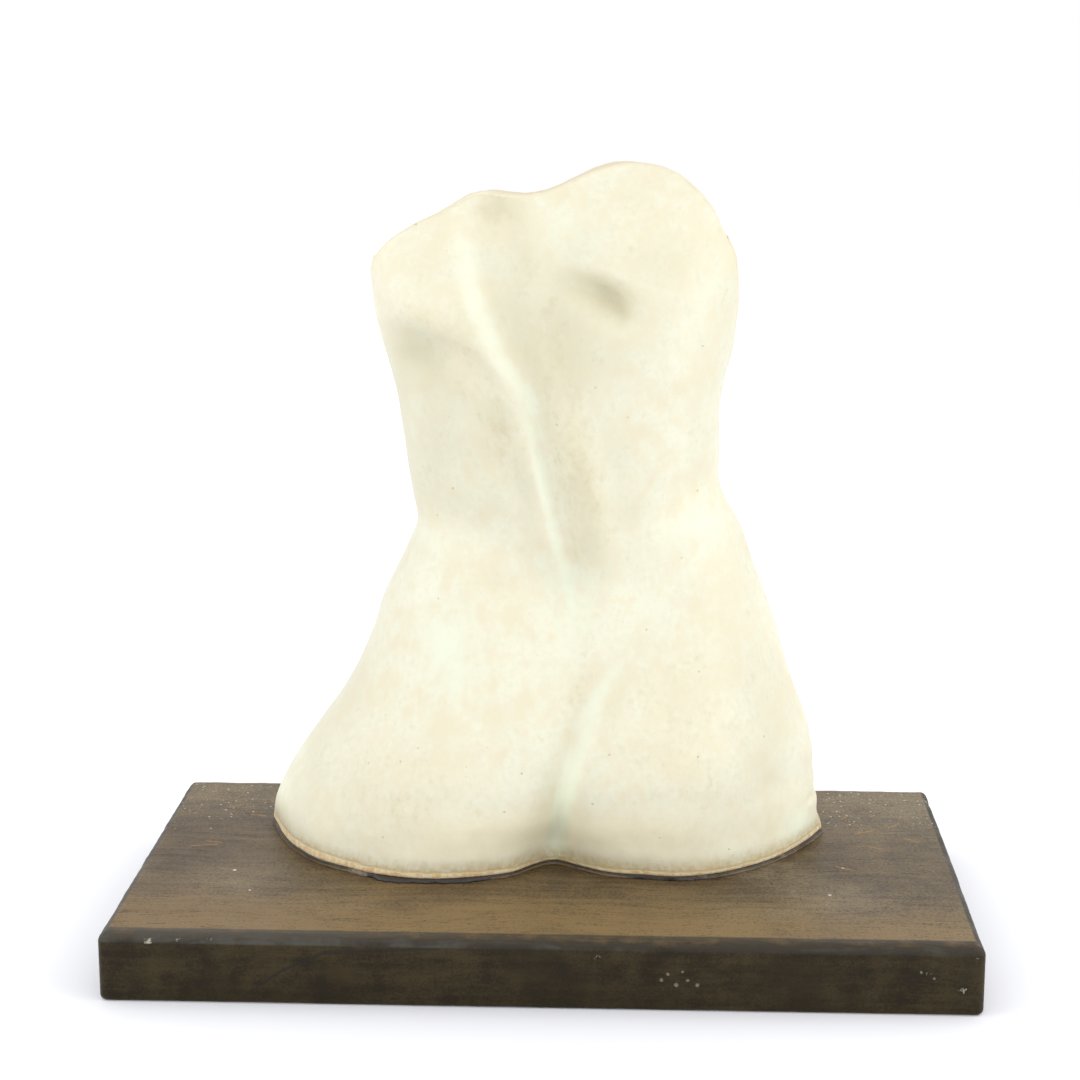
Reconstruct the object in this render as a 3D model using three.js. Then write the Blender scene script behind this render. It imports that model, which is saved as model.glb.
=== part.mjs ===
import * as THREE from 'three';

// Stoneware torso, the back of a standing figure, bonded to a wooden plinth.
// Millimetres, +Z up. The modelled side faces -Y and the open side of the shell faces +Y.
// The origin is the centre of the plinth's underside.

// Plinth, a stained board with worn edges
const plinthWidth = 250;
const plinthDepth = 138;
const plinthHeight = 20.4;
const plinthTopEase = 3; // rounding of the top edges
const plinthFootEase = 1.5; // rounding of the bottom edges
const plinthCorner = 2.5; // rounding of the four upright edges, in plan

// Line of adhesive between the rim of the torso and the plinth
const adhesiveThickness = 1;
const adhesiveInset = 0.5; // it stays this far back from both faces of the wall

// Torso, a hollow shell
const torsoHeight = 211.3;
const wallThickness = 8;
const rimRounding = 1.2; // rounding of both edges of the cut rim

// Fineness of the faceted surface
const columnsPerSide = 22; // from each side edge to the spine
const rows = 40; // from the base to the top
const roundingSteps = 2;
const easeSteps = 4;

// The figure is drawn in hundredths of its own height: x to the figure's right as it is
// seen here, z up from its base. It turns into millimetres when the surface is built.
const hundredth = torsoHeight / 100;

// Smooth curve through stations [t, value], level in slope from one station to the next
function through(...stations) {
  const steps = [];
  for (let i = 1; i < stations.length; i += 1) {
    steps.push(stations[i][0] - stations[i - 1][0]);
  }
  const rises = steps.map((step, i) => (stations[i + 1][1] - stations[i][1]) / step);
  const slopes = stations.map((station, i) => {
    if (i === 0) return rises[0];
    if (i === rises.length) return rises[i - 1];
    return (steps[i] * rises[i - 1] + steps[i - 1] * rises[i]) / (steps[i] + steps[i - 1]);
  });
  const first = stations[0][0];
  const last = stations[stations.length - 1][0];
  return (at) => {
    const t = Math.min(Math.max(at, first), last);
    let i = 0;
    while (i < steps.length - 1 && t > stations[i + 1][0]) i += 1;
    const s = (t - stations[i][0]) / steps[i];
    const fromLeft = (1 - s) * (1 - s) * (stations[i][1] * (1 + 2 * s) + steps[i] * slopes[i] * s);
    const fromRight = s * s * (stations[i + 1][1] * (3 - 2 * s) + steps[i] * slopes[i + 1] * (s - 1));
    return fromLeft + fromRight;
  };
}

// Soft round mass at a place, long by reach[0] and wide by reach[1], turned by lean degrees
function lump(x, z, at, reach, lean = 0) {
  const turn = THREE.MathUtils.degToRad(lean);
  const dx = x - at[0];
  const dz = z - at[1];
  const along = (dx * Math.cos(turn) + dz * Math.sin(turn)) / reach[0];
  const across = (dz * Math.cos(turn) - dx * Math.sin(turn)) / reach[1];
  return Math.exp(-(along * along + across * across));
}

// Goes from 0 to 1 where t passes 0
function ledge(t, softness) {
  return 0.5 + 0.5 * Math.tanh(t / softness);
}

// Bell of a given half width round 0
function bell(t, halfWidth, power = 2) {
  return Math.exp(-Math.pow(Math.abs(t / halfWidth), power));
}

// Outline: the two side edges up to the shoulders, then the broken top edge over x
const leftCorner = -24; // where the top edge starts
const rightCorner = 24.7; // and where it ends
const spineTop = -11.8; // where the spine meets it
const leftFlank = [
  [0, -42.4], [4, -41.8], [10.5, -38.6], [22.5, -30.3], [30, -26.7], [36.5, -24.5],
  [43, -21.4], [47.5, -19.6], [52, -20.1], [59.5, -21.1], [68, -22.3], [79, -24.7],
];
const rightFlank = [
  [0, 40.9], [9, 39.4], [15, 38.8], [26, 35.1], [35.5, 32.2], [42, 29.7], [47, 28],
  [54, 24.4], [59, 24.3], [68, 24.6], [74.5, 25.9], [80, 26.5],
];
const leftSide = through(...leftFlank, [84, -25.2], [88, -25.7], [104, -26]);
const rightSide = through(...rightFlank, [90, 26.8], [104, 27.1]);
const rightEdge = through(...rightFlank, [84, 26.4], [87.5, 25.9], [90, rightCorner]);
const topEdge = through(
  [leftCorner, 87.4], [-22.5, 89.1], [-19, 91.5], [-14.5, 93.8], [-10.5, 95.8], [-3, 95.9],
  [0.5, 96.5], [4.5, 98.1], [8, 99.4], [11.5, 100], [14.5, 99.8], [18, 98.5], [20, 97.1],
  [23, 93.6], [rightCorner, 90.2],
);

// Course of the spine and of the cleft below it, x over z
const middle = through(
  [0, 1.2], [10.5, 2], [24.5, 4.3], [33.5, 3.9], [41.5, 3.1], [52, 0.9], [66, -2.7],
  [79, -7.5], [90, -10.8], [95.5, spineTop],
);

// Cross section: how far back the side edges lie, how deep the back stands out before
// them, and how square its shoulders are
const sideBack = through(
  [0, 12.8], [8.5, 14.6], [20, 15.1], [35.5, 13.3], [47.5, 12], [70, 11], [78, 10.2],
  [83, 8.2], [88, 5.4], [94, 3.6], [100, 3],
);
const depth = through(
  [0, 22.2], [8, 24.5], [19, 23.5], [35.5, 17.8], [44.5, 14.6], [53, 15.6], [70, 17.8],
  [78, 17.7], [83, 15.4], [88, 10.6], [94, 6.6], [100, 2.6],
);
const squareLeft = through([0, 2.4], [43.5, 2.6], [57, 2.7], [81.5, 3.5], [89, 3.8]);
const squareRight = through([0, 2.2], [45, 2.3], [63, 2.7], [76.5, 3], [89, 2.8]);
const rightShare = 1.02; // the right side is cut off just before it turns square to the view

// Line on which the base stands, y over x, and how far up it is felt
const footLine = through(
  [-42.4, 12.8], [-40, 5.7], [-35.5, -2], [-28.5, -8.1], [-15, -12], [-5.5, -9.1], [1.5, -3.6],
  [4.5, -5.5], [8, -7.7], [14.5, -9.2], [19, -9.6], [27.5, -6.3], [36.5, 3.2], [38.5, 6.6],
  [40.9, 11.6],
);
const footReach = 6.2;

// The waist folds along a crease that dips to the spine
const creaseLine = through(
  [-20, 49.5], [-15.5, 49], [-7.5, 45.3], [-1.5, 40.7], [2.5, 37.6], [5.5, 40.3], [9.5, 43.7],
  [17, 48.4], [21.5, 52], [25, 54.2],
);
const creaseLevel = 43.4;
const creaseReach = 16;

// Buttocks, the cleft between them and the swell of the right shoulder blade
const cleftDepth = through([0, 6.2], [4, 4.6], [10, 3.5], [18.5, 1.9], [24.5, 1.1], [40, 0.1]);
const cleftWidth = through([0, 4], [6, 3.1], [11.5, 2.7], [21, 2.3], [29, 2.7], [40, 3.3]);

function masses(x, z) {
  const fromMiddle = x - middle(z);
  const buttocks = 4 * lump(x, z, [-16.1, 10.8], [14.2, 16.1])
    + 3.4 * lump(x, z, [18.9, 11.4], [13.7, 16.1]);
  const cleft = cleftDepth(z) * bell(fromMiddle, cleftWidth(z), 1.6);
  const rightBlade = 1.6 * lump(x, z, [17, 78.8], [9.5, 11.4]);
  return buttocks - cleft + rightBlade;
}

// Finer carving: spine groove with a ridge on each side, edges of the shoulder blades,
// creases over the buttocks, dimples and the stump of the neck
const spineDepth = through([31, 0], [37.5, 0.4], [42.5, 1], [52.5, 1.6], [70.5, 1.5], [80.5, 1.3], [96, 1.2]);
const spineWidth = through([31, 2.8], [42, 1.8], [53, 1.6], [81, 2.9], [96, 3.5]);
const spineShift = through([31, 0.5], [44, 1.1], [64, 1.4], [85, 2.7], [96, 2.8]);
const ridgeRight = through([31, 0], [35.5, 0], [39.5, 0.5], [50, 1.5], [55.5, 1.3], [71.5, 0.4], [96, 0]);
const ridgeLeft = through([31, 0], [35.5, 0], [43.5, 0.5], [56, 0.9], [86, 0.8], [96, 0.5]);
const bladeEdge = through([-26, 79.1], [-22.5, 78.9], [-16.5, 77.5], [-11.5, 75.5], [-9, 73.6], [-4, 67.7]);

function carving(x, z) {
  const spine = middle(z);
  const fromMiddle = x - spine;
  const groove = spineDepth(z) * bell(fromMiddle - spineShift(z), spineWidth(z));
  const ridges = ridgeRight(z) * bell(fromMiddle - 5.2, 3.1) + ridgeLeft(z) * bell(fromMiddle + 2.8, 2.8);
  const overBlade = z - bladeEdge(x);
  const leftOfSpine = ledge(spine - 2.4 - x, 3.3);
  const leftBlade = 2.3 * ledge(overBlade, 1.45) * bell(Math.max(overBlade, 0), 13) * leftOfSpine;
  const underLeftBlade = 1.7 * lump(x, z, [-17.6, 74], [5, 3.2], -16);
  const underRightBlade = 2.7 * lump(x, z, [8.9, 81.9], [3.5, 2.2], -32)
    + 1.2 * lump(x, z, [4.6, 84.1], [4, 1.8], -24);
  const rightBladeEdge = 0.9 * lump(x, z, [8.2, 86], [6.4, 2.3], -28);
  const smallOfBack = 0.55 * lump(x, z, [0, 71.3], [5.7, 10.4]);
  const rightCrease = 1.15 * lump(x, z, [10.4, 27.3], [11.4, 2.4], 50);
  const leftCrease = 0.5 * lump(x, z, [-1.4, 27.7], [8.5, 2.8], 112);
  const dimples = 0.5 * lump(x, z, [-6.6, 40], [2.8, 2.4]) + 0.45 * lump(x, z, [12.8, 40], [3.3, 2.4]);
  const neck = 0.55 * lump(x, z, [-1.4, 93.5], [3.8, 3.8]);
  const raised = ridges + leftBlade + rightBladeEdge + neck;
  const sunk = groove + underLeftBlade + underRightBlade + smallOfBack + rightCrease + leftCrease + dimples;
  return raised - sunk;
}

// Share of the half width at which a point lies, -1 at the left side and 1 at the right
function shareOfWidth(x, z) {
  const centre = (leftSide(z) + rightSide(z)) / 2;
  return (x - centre) / (rightSide(z) - centre);
}

// How much of the depth stands at that share: 1 in the middle, 0 at the side
function archOf(share, z) {
  const power = share < 0 ? squareLeft(z) : squareRight(z);
  const reduced = share < 0 ? -share : share / rightShare;
  return Math.pow(Math.max(1 - Math.pow(reduced, power), 0), 1 / power);
}

// Towards the shoulder the left edge comes round to the front, up to this much of the depth
const leftTurn = through([74, 0], [80, 0.16], [84, 0.42], [87, 0.66]);

function leftEdge(z) {
  const power = squareLeft(z);
  const share = Math.pow(1 - Math.pow(leftTurn(z), power), 1 / power);
  const centre = (leftSide(z) + rightSide(z)) / 2;
  return centre - share * (rightSide(z) - centre);
}

// The surface, y over x and z, in hundredths; carved is how much of the fine carving shows
function backOf(x, z, carved) {
  const share = shareOfWidth(x, z);
  const fold = (creaseLine(x) - creaseLevel) * bell(z - creaseLevel - 2, creaseReach);
  const fade = Math.max(1 - Math.pow(Math.abs(share), 5), 0);
  const raised = (masses(x, z) + carved * carving(x, z)) * fade;
  const body = sideBack(z) - depth(z - fold) * archOf(share, z) - raised;
  const baseCentre = (leftSide(0) + rightSide(0)) / 2;
  const foot = footLine(baseCentre + share * (rightSide(0) - baseCentre));
  const atFoot = bell(z, footReach);
  return body * (1 - atFoot) + foot * atFoot;
}

// Places [x, z] of the surface points: two patches blended from their edges meet at the
// spine, with the columns closer together towards the sides
const rimLift = rimRounding / hundredth; // the surface stops this far inside the rim

function edgePoints(xOver, topX) {
  const top = topEdge(topX) - rimLift;
  const points = [];
  for (let j = 0; j <= rows; j += 1) {
    const z = rimLift + (top - rimLift) * (j / rows);
    points.push([xOver(z), z]);
  }
  return points;
}

function patch(sideEdge, spineEdge, shares) {
  return shares.map((s) => {
    const between = (j, k) => sideEdge[j][k] + (spineEdge[j][k] - sideEdge[j][k]) * s;
    const rise = topEdge(between(rows, 0)) - rimLift - between(rows, 1);
    const column = [];
    for (let j = 0; j <= rows; j += 1) {
      column.push([between(j, 0), between(j, 1) + rise * (j / rows)]);
    }
    return column;
  });
}

function surfacePlaces() {
  const shares = [];
  for (let i = 0; i <= columnsPerSide; i += 1) {
    const t = i / columnsPerSide;
    shares.push(t * t * (1 + 1.25 * (1 - t)));
  }
  const spine = edgePoints(middle, spineTop);
  const leftPatch = patch(edgePoints(leftEdge, leftCorner), spine, shares);
  const rightPatch = patch(edgePoints(rightEdge, rightCorner), spine, shares).reverse();
  return [...leftPatch, ...rightPatch.slice(1)];
}

// Outer and inner surface of the shell. The inner one is set in by the wall thickness and
// is plainer, because only part of the carving shows through.
const innerCarving = 0.6;

function shellSurfaces() {
  const outer = [];
  const inner = [];
  for (const column of surfacePlaces()) {
    const outerColumn = [];
    const innerColumn = [];
    for (const [x, z] of column) {
      const share = shareOfWidth(x, z);
      const point = new THREE.Vector3(x, backOf(x, z, 1), z).multiplyScalar(hundredth);
      const within = new THREE.Vector3(x, backOf(x, z, innerCarving), z).multiplyScalar(hundredth);
      within.x -= share * wallThickness;
      within.y += archOf(share, z) * wallThickness;
      outerColumn.push(point);
      innerColumn.push(within);
    }
    outer.push(outerColumn);
    inner.push(innerColumn);
  }
  return { outer, inner };
}

// The border of a grid of columns as one loop: base, right side, top, left side
function borderOf(grid) {
  const last = grid.length - 1;
  const base = grid.map((column) => column[0]);
  const right = grid[last].slice(1);
  const top = grid.slice(0, last).reverse().map((column) => column[rows]);
  const left = grid[0].slice(1, rows).reverse();
  return [...base, ...right, ...top, ...left];
}

// Direction in which the rim stands out from the border at each of its points
function rimDirections(outerBorder, innerBorder, columns) {
  const count = outerBorder.length;
  const along = outerBorder.map((point, i) => innerBorder[i].clone().sub(point).normalize());
  const sideOut = (i, from, to) => {
    const run = outerBorder[to].clone().sub(outerBorder[from]);
    return new THREE.Vector3().crossVectors(along[i], run).normalize();
  };
  const corners = [0, columns - 1, columns - 1 + rows, 2 * (columns - 1) + rows];
  return outerBorder.map((point, i) => {
    const before = (i + count - 1) % count;
    const after = (i + 1) % count;
    if (!corners.includes(i)) return sideOut(i, before, after);
    const one = sideOut(i, before, i);
    const other = sideOut(i, i, after);
    return one.add(other).divideScalar(1 + Math.max(one.dot(other), 0));
  });
}

function meshFrom(name, points, triangles, material) {
  const positions = [];
  for (const point of points) positions.push(point.x, point.y, point.z);
  const geometry = new THREE.BufferGeometry();
  geometry.setAttribute('position', new THREE.Float32BufferAttribute(positions, 3));
  geometry.setIndex(triangles);
  geometry.computeVertexNormals();
  const mesh = new THREE.Mesh(geometry, material);
  mesh.name = name;
  return mesh;
}

function quad(triangles, a, b, c, d) {
  triangles.push(a, b, c, a, c, d);
}

// Closed loops of points, each joined to the next, with a flat fan over the first and last
function loft(loops) {
  const count = loops[0].length;
  const points = loops.flat();
  const triangles = [];
  for (let k = 0; k + 1 < loops.length; k += 1) {
    for (let i = 0; i < count; i += 1) {
      const next = (i + 1) % count;
      quad(triangles, k * count + i, k * count + next, (k + 1) * count + next, (k + 1) * count + i);
    }
  }
  const lastLoop = (loops.length - 1) * count;
  for (let i = 1; i + 1 < count; i += 1) {
    triangles.push(0, i + 1, i);
    triangles.push(lastLoop, lastLoop + i, lastLoop + i + 1);
  }
  return { points, triangles };
}

// Rectangle with rounded corners at one height, run counterclockwise from above
function roundedRectangle(width, deep, radius, z) {
  const loop = [];
  const corners = [[1, -1], [1, 1], [-1, 1], [-1, -1]];
  for (const [index, [sideX, sideY]] of corners.entries()) {
    for (let k = 0; k <= easeSteps; k += 1) {
      const angle = (Math.PI / 2) * (index - 1 + k / easeSteps);
      const x = sideX * (width / 2 - radius) + radius * Math.cos(angle);
      const y = sideY * (deep / 2 - radius) + radius * Math.sin(angle);
      loop.push(new THREE.Vector3(x, y, z));
    }
  }
  return loop;
}

function makePlinth() {
  const loops = [];
  const addLoop = (inset, z) => {
    const radius = Math.max(plinthCorner - inset, plinthCorner / 5);
    loops.push(roundedRectangle(plinthWidth - 2 * inset, plinthDepth - 2 * inset, radius, z));
  };
  for (let k = 0; k <= easeSteps; k += 1) {
    const angle = (Math.PI / 2) * (k / easeSteps);
    addLoop(plinthFootEase * (1 - Math.sin(angle)), plinthFootEase * (1 - Math.cos(angle)));
  }
  for (let k = 0; k <= easeSteps; k += 1) {
    const angle = (Math.PI / 2) * (k / easeSteps);
    const drop = plinthTopEase * (1 - Math.sin(angle));
    addLoop(plinthTopEase * (1 - Math.cos(angle)), plinthHeight - drop);
  }
  const { points, triangles } = loft(loops);
  const stainedWood = new THREE.MeshStandardMaterial({ color: 0x4a3d2c, roughness: 0.55, metalness: 0 });
  return meshFrom('plinth', points, triangles, stainedWood);
}

function makeTorso(outer, inner) {
  const columns = outer.length;
  const height = rows + 1;
  const points = [...outer.flat(), ...inner.flat()];
  const innerStart = columns * height;
  const triangles = [];
  for (let i = 0; i + 1 < columns; i += 1) {
    for (let j = 0; j < rows; j += 1) {
      const a = i * height + j;
      const b = (i + 1) * height + j;
      quad(triangles, a, b, b + 1, a + 1);
      quad(triangles, innerStart + a, innerStart + a + 1, innerStart + b + 1, innerStart + b);
    }
  }
  const outerIndex = outer.map((column, i) => column.map((point, j) => i * height + j));
  const outerBorder = borderOf(outer);
  const innerBorder = borderOf(inner);
  const outerLoop = borderOf(outerIndex);
  const out = rimDirections(outerBorder, innerBorder, columns);
  let before = outerLoop;
  const addBand = (loop) => {
    for (let i = 0; i < loop.length; i += 1) {
      const next = (i + 1) % loop.length;
      quad(triangles, before[i], loop[i], loop[next], before[next]);
    }
    before = loop;
  };
  const addRimLoop = (borderFrom, towards, angle) => {
    const loop = borderFrom.map((point, i) => {
      const inward = towards[i].clone().sub(point).normalize();
      const placed = point.clone();
      placed.addScaledVector(inward, rimRounding * (1 - Math.cos(angle)));
      placed.addScaledVector(out[i], rimRounding * Math.sin(angle));
      points.push(placed);
      return points.length - 1;
    });
    addBand(loop);
  };
  for (let k = 1; k <= roundingSteps; k += 1) {
    addRimLoop(outerBorder, innerBorder, (Math.PI / 2) * (k / roundingSteps));
  }
  for (let k = roundingSteps; k >= 1; k -= 1) {
    addRimLoop(innerBorder, outerBorder, (Math.PI / 2) * (k / roundingSteps));
  }
  addBand(outerLoop.map((index) => innerStart + index));
  const glaze = new THREE.MeshStandardMaterial({ color: 0xede5c8, roughness: 0.45, metalness: 0 });
  return meshFrom('torso', points, triangles, glaze);
}

// A strip under the rim, from its left end along the outer face and back along the inner
function makeAdhesive(outer, inner) {
  const base = outer.map((column, i) => {
    const near = column[0];
    const far = inner[i][0];
    const inward = far.clone().sub(near).normalize();
    return {
      near: near.clone().addScaledVector(inward, adhesiveInset),
      far: far.clone().addScaledVector(inward, -adhesiveInset),
    };
  });
  const points = [];
  for (const { near, far } of base) {
    for (const [edge, z] of [[near, 0], [near, adhesiveThickness], [far, adhesiveThickness], [far, 0]]) {
      points.push(new THREE.Vector3(edge.x, edge.y, z));
    }
  }
  const around = points.length / base.length;
  const triangles = [];
  for (let i = 0; i + 1 < base.length; i += 1) {
    for (let k = 0; k < around; k += 1) {
      const next = (k + 1) % around;
      quad(triangles, around * i + k, around * (i + 1) + k, around * (i + 1) + next, around * i + next);
    }
  }
  const end = around * (base.length - 1);
  quad(triangles, 0, 1, 2, 3);
  quad(triangles, end + 3, end + 2, end + 1, end);
  const darkAdhesive = new THREE.MeshStandardMaterial({ color: 0x2a2622, roughness: 0.6, metalness: 0 });
  return meshFrom('adhesive_bed', points, triangles, darkAdhesive);
}

const { outer, inner } = shellSurfaces();
const plinth = makePlinth();
const adhesiveBed = makeAdhesive(outer, inner);
const torso = makeTorso(outer, inner);
adhesiveBed.position.z = plinthHeight;
torso.position.z = plinthHeight + adhesiveThickness;

const sculpture = new THREE.Group();
sculpture.name = 'stoneware_torso_sculpture';
sculpture.add(plinth, adhesiveBed, torso);

export default sculpture;
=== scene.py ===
import math
import bpy
import numpy as np
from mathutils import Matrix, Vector, noise


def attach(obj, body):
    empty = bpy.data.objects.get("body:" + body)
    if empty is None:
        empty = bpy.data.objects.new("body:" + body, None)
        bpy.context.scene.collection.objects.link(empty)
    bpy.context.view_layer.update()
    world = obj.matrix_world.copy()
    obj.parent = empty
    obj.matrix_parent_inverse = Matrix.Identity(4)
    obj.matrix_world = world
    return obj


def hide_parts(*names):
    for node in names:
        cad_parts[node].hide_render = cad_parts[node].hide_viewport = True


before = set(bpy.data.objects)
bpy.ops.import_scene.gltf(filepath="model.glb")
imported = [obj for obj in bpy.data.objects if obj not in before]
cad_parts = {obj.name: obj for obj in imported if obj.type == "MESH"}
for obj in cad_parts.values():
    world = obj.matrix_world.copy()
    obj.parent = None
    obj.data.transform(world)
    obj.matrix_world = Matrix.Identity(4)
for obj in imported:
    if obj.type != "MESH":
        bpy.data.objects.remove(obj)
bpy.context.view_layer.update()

# Stoneware torso, the back of a standing figure, glued to a stained wooden plinth.
# Lengths are in millimetres in the frame of the CAD model, and become metres when a mesh,
# a light or the camera is made.
mm = 0.001


# sockets of a Mix node that mixes colours
mixShare, mixStart, mixEnd, mixColour = 0, 6, 7, 2


def ofTwo(operation, turned=False):
    # a sum, difference or the like of a wire and another value, turned if the wire comes second
    def result(self, other):
        return self.math(operation, *((other, self) if turned else (self, other)))
    return result


class Wire:
    # one socket of a node tree; arithmetic on it adds the nodes

    def __init__(self, tree, socket):
        self.tree = tree
        self.socket = socket

    def make(self, kind, settings, sockets, out=0):
        node = self.tree.nodes.new(kind)
        for name, value in settings.items():
            setattr(node, name, value)
        for name, value in sockets.items():
            if isinstance(value, Wire):
                self.tree.links.new(value.socket, node.inputs[name])
            else:
                node.inputs[name].default_value = value
        return Wire(self.tree, node.outputs[out])

    def math(self, operation, *terms):
        return self.make("ShaderNodeMath", {"operation": operation}, dict(enumerate(terms)))

    __add__, __radd__ = ofTwo("ADD"), ofTwo("ADD", turned=True)
    __sub__, __rsub__ = ofTwo("SUBTRACT"), ofTwo("SUBTRACT", turned=True)
    __mul__, __rmul__ = ofTwo("MULTIPLY"), ofTwo("MULTIPLY", turned=True)
    atLeast, atMost = ofTwo("MAXIMUM"), ofTwo("MINIMUM")

    def held(self):
        return self.atLeast(0.0).atMost(1.0)

    def vector(self, operation, *terms, out=0):
        return self.make("ShaderNodeVectorMath", {"operation": operation}, dict(enumerate(terms)), out)

    # 0 below low, 1 above high, smooth between; low may be the larger one
    def step(self, low, high):
        settings = {"interpolation_type": "SMOOTHSTEP", "clamp": True}
        sockets = {"Value": self, "From Min": min(low, high), "From Max": max(low, high)}
        if low > high:
            sockets.update({"To Min": 1.0, "To Max": 0.0})
        return self.make("ShaderNodeMapRange", settings, sockets)

    # the colour from start to end that this share, 0 to 1, picks
    def blend(self, start, end):
        sockets = {mixShare: self, mixStart: start, mixEnd: end}
        return self.make("ShaderNodeMix", {"data_type": "RGBA"}, sockets, out=mixColour)

    # this colour turned into another where mask is 1
    def towards(self, other, mask):
        return mask.blend(self, other)

    def stretched(self, x, y, z):
        return self.vector("MULTIPLY", self, (x, y, z))

    # soft noise of a given grain size, 0 to 1, round this place; a seed shifts it elsewhere
    def cloud(self, size, detail=2.0, rough=0.5, seed=0.0):
        moved = self.vector("ADD", self, (seed * 37.1, seed * 17.3, seed * 53.9))
        return self.make("ShaderNodeTexNoise", {}, {
            "Vector": moved, "Scale": 1 / size, "Detail": detail, "Roughness": rough})

    # distance to the middle of the nearest of many scattered dots, in shares of their spacing
    def dots(self, spacing, seed=0.0):
        moved = self.vector("ADD", self, (seed * 11.7, seed * 29.3, seed * 5.1))
        settings = {"feature": "F1", "distance": "EUCLIDEAN"}
        sockets = {"Vector": moved, "Scale": 1 / spacing}
        distance = self.make("ShaderNodeTexVoronoi", settings, sockets)
        colour = self.make("ShaderNodeTexVoronoi", settings, sockets, out=1)
        chance = self.make("ShaderNodeSeparateColor", {}, {"Color": colour})
        return distance, chance

    def part(self, axis):
        return self.make("ShaderNodeSeparateXYZ", {}, {"Vector": self}, out="XYZ".index(axis))

    # 1 within a soft ball round a place
    def near(self, place, reach):
        away = self.vector("DISTANCE", self, place, out=1)
        return away.step(reach, 0.0)

    # sum of soft balls, each with its place, reach and amount
    def nearEach(self, balls):
        return sum(self.near(at, reach) * amount for at, reach, amount in balls)

    # 1 along a straight line from start to end, soft to its width
    def alongLine(self, start, end, width):
        start, end = Vector(start), Vector(end)
        run = end - start
        fromStart = self.vector("SUBTRACT", self, start)
        share = self.vector("DOT_PRODUCT", fromStart, run / run.length_squared, out=1)
        share = share.held()
        onLine = self.make("ShaderNodeVectorMath", {"operation": "SCALE"}, {0: run, "Scale": share})
        away = self.vector("DISTANCE", fromStart, onLine, out=1)
        return away.step(width, 0.0)


def paint(red, green, blue, share=1.0):
    # a colour as the eye picks it, 0 to 255, for a shader socket, darkened by a share
    def linear(value):
        value = value / 255
        return share * (value / 12.92 if value <= 0.04045 else ((value + 0.055) / 1.055) ** 2.4)
    return (linear(red), linear(green), linear(blue), 1.0)


def newFinish(name):
    finish = bpy.data.materials.new(name)
    finish.use_nodes = True
    tree = finish.node_tree
    shader = tree.nodes["Principled BSDF"]
    coordinates = tree.nodes.new("ShaderNodeTexCoord")
    inMetres = Wire(tree, coordinates.outputs["Object"])
    place = inMetres.make("ShaderNodeVectorMath", {"operation": "SCALE"}, {0: inMetres, "Scale": 1 / mm})
    return finish, shader, place


def maskOf(place, name):
    return place.make("ShaderNodeAttribute", {"attribute_name": name}, {}, out=2)


def dress(shader, place, colour, roughness, height, bump):
    tree = place.tree
    tree.links.new(colour.socket, shader.inputs["Base Color"])
    tree.links.new(roughness.socket, shader.inputs["Roughness"])
    relief = place.make("ShaderNodeBump", {}, {
        "Strength": bump, "Distance": mm, "Height": height})
    tree.links.new(relief.socket, shader.inputs["Normal"])


def through(stations):
    # smooth curve through stations (t, value)
    t = np.array([station[0] for station in stations], float)
    value = np.array([station[1] for station in stations], float)
    step = np.diff(t)
    rise = np.diff(value) / step
    inner = (step[1:] * rise[:-1] + step[:-1] * rise[1:]) / (step[1:] + step[:-1])
    slope = np.concatenate([rise[:1], inner, rise[-1:]])

    def curve(at):
        at = np.clip(at, t[0], t[-1])
        i = np.clip(np.searchsorted(t, at, side="right") - 1, 0, len(t) - 2)
        s = (at - t[i]) / step[i]
        fromLeft = (1 - s) ** 2 * (value[i] * (1 + 2 * s) + step[i] * slope[i] * s)
        fromRight = s ** 2 * (value[i + 1] * (3 - 2 * s) + step[i] * slope[i + 1] * (s - 1))
        return fromLeft + fromRight
    return curve


def wander(points, size, seed):
    # soft noise at an array of points, about -1 to 1, with waves of a given size
    flat = np.reshape(points, (-1, 3)) / np.asarray(size, float) + seed * 7.31
    return np.array([noise.noise(Vector(p)) for p in flat]).reshape(np.shape(points)[:-1])


def smooth(t):
    t = np.clip(t, 0, 1)
    return t * t * (3 - 2 * t)


def unit(vectors):
    return vectors / np.linalg.norm(vectors, axis=-1, keepdims=True)


def makePiece(name, points, faces, masks, finish, node):
    mesh = bpy.data.meshes.new(name)
    mesh.from_pydata((np.asarray(points) * mm).tolist(), [], faces)
    mesh.update()
    mesh.shade_smooth()
    for mask, values in masks.items():
        layer = mesh.attributes.new(mask, "FLOAT", "POINT")
        layer.data.foreach_set("value", np.asarray(values, np.float32))
    mesh.materials.append(finish)
    piece = bpy.data.objects.new(name, mesh)
    bpy.context.scene.collection.objects.link(piece)
    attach(piece, "root")
    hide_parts(node)
    print(f"{name}: {len(points)} points, {len(faces)} faces")
    return piece


def bandFaces(before, after):
    # quads between two closed loops of point numbers
    count = len(before)
    return [(before[i], after[i], after[(i + 1) % count], before[(i + 1) % count]) for i in range(count)]


# The form is drawn in hundredths of the torso's height: x to the right as it is seen from
# the front, z up from its base, y away from the front.
torso = {
    "height": 211.3,
    "base": 21.4,
    "wall": 8.0,
    "rimRounding": 1.2,
    "columnsPerSide": 96,
    "rows": 200,
    "roundingSteps": 5,
    "rimSteps": 5,
    "leftCorner": -24,
    "rightCorner": 24.7,
    "spineTop": -11.8,
    "rightShare": 1.02,
    "edgeCrowding": 1.25,  # how much closer the columns stand at the side edges
    "footReach": 6.2,
    "creaseLevel": 43.4,
    "creaseRise": 2,
    "creaseReach": 16,
    "fadePower": 5,  # how late the carving fades out towards the side edges
    "innerCarving": 0.6,  # share of the carving that shows inside the hollow
}

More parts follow.
